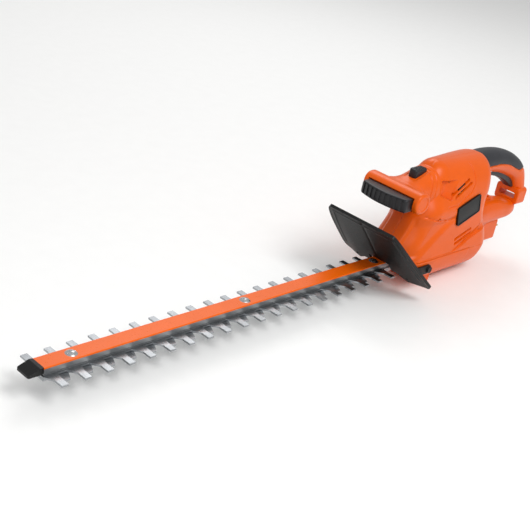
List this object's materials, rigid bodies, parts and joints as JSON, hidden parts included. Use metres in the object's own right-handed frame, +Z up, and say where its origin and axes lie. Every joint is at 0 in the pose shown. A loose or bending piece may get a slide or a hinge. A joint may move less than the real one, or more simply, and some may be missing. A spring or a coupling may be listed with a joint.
{
  "type": "hedge trimmer",
  "caption": "Mains electric hedge trimmer with a long double-sided blade, leaning hand guard, T-shaped front handle with bar switch, and a rear loop handle with a trigger.",
  "frame": {"origin": "on the crank axis, at the flat underside of the foot", "axes": "+X along the blade towards the rear handle, -X to the blade's tip, +Z up with the trimmer on its foot"},
  "size_m": [0.8128, 0.138, 0.1632],
  "materials": {
    "orange_plastic": "satin moulded ABS",
    "black_plastic": "fine texture",
    "dark_plastic": "satin",
    "soft_rubber": "soft touch",
    "blade_steel": "ground",
    "bar_metal": "extruded",
    "orange_paint": "gloss",
    "plated_steel": "bright zinc",
    "cast_alloy": "as cast",
    "gear_steel": "sintered",
    "core_steel": "laminated",
    "copper_wire": "enamelled",
    "commutator_copper": "turned",
    "brush_carbon": "carbon",
    "brass_parts": "drawn",
    "fan_plastic": "moulded"
  },
  "bodies": {
    "casing": {"left_housing": "orange_plastic", "right_housing": "orange_plastic", "base_cover": "orange_plastic", "front_handle": "orange_plastic", "soft_grip": "soft_rubber", "power_inlet": "black_plastic", "inlet_prongs": "plated_steel", "badge_plates": "dark_plastic", "guard": "black_plastic", "guard_screws": "dark_plastic", "blade_bar": "bar_metal", "bar_cover": "orange_paint", "bar_screws": "plated_steel", "tip_protector": "black_plastic", "blade_bushes": "gear_steel", "blade_washers": "plated_steel", "bar_nuts": "plated_steel", "gear_case": "cast_alloy", "gear_plate": "gear_steel", "case_spacers": "gear_steel", "gear_case_screws": "plated_steel", "bar_mount_screws": "plated_steel", "gear_bearing": "plated_steel", "lower_bearing": "plated_steel", "upper_bearing": "plated_steel", "bearing_bracket": "fan_plastic", "stator_core": "core_steel", "field_coils": "copper_wire", "brush_holders": "brass_parts", "carbon_brushes": "brush_carbon", "brush_springs": "plated_steel", "main_switch": "dark_plastic", "front_switch": "dark_plastic", "trigger_spring": "plated_steel", "switch_bar_springs": "plated_steel", "button_spring": "plated_steel", "button_seat": "fan_plastic", "trigger_pin": "plated_steel", "housing_screws": "plated_steel", "base_screws": "plated_steel"},
    "armature": {"armature_shaft": "gear_steel", "armature_core": "core_steel", "armature_windings": "copper_wire", "commutator": "commutator_copper", "cooling_fan": "fan_plastic", "motor_pinion": "gear_steel"},
    "crank": {"drive_gear": "gear_steel", "gear_shaft": "gear_steel", "double_crank": "gear_steel"},
    "upper_blade": {"upper_blade": "blade_steel"},
    "lower_blade": {"lower_blade": "blade_steel"},
    "rear_trigger": {"rear_trigger": "black_plastic"},
    "front_switch_bar": {"front_switch_bar": "black_plastic"},
    "lock_off_button": {"lock_off_button": "dark_plastic"}
  },
  "joints": [
    {"name": "armature_spin", "type": "hinge", "parent": "casing", "child": "armature", "pos_m": [0.033, 0, 0.06], "axis": [0, 0, 1], "continuous": true},
    {"name": "crank_spin", "type": "hinge", "parent": "casing", "child": "crank", "pos_m": [0, 0, 0.035], "axis": [0, 0, 1], "continuous": true},
    {"name": "upper_blade_slide", "type": "slide", "parent": "casing", "child": "upper_blade", "axis": [1, 0, 0], "range_m": [-0.006, 0.004]},
    {"name": "lower_blade_slide", "type": "slide", "parent": "casing", "child": "lower_blade", "axis": [1, 0, 0], "range_m": [-0.004, 0.006]},
    {"name": "rear_trigger_squeeze", "type": "hinge", "parent": "casing", "child": "rear_trigger", "pos_m": [0.122, 0, 0.134], "axis": [0, -1, 0], "range_deg": [0, 4.5], "stiffness_Nm_per_rad": 2, "springref_deg": -2.86, "deforming": ["trigger_spring"]},
    {"name": "front_switch_press", "type": "slide", "parent": "casing", "child": "front_switch_bar", "axis": [1, 0, 0], "range_m": [0, 0.005], "stiffness_N_per_m": 800, "springref_m": -0.004, "deforming": ["switch_bar_springs"]},
    {"name": "lock_off_press", "type": "slide", "parent": "casing", "child": "lock_off_button", "axis": [0, 0, -1], "range_m": [0, 0.003], "stiffness_N_per_m": 400, "springref_m": -0.003, "deforming": ["button_spring"]}
  ],
  "couplings": [
    {"joint": "crank_spin", "follows": "armature_spin", "ratio": -0.2},
    {"joint": "lower_blade_slide", "follows": "upper_blade_slide", "ratio": -1}
  ]
}
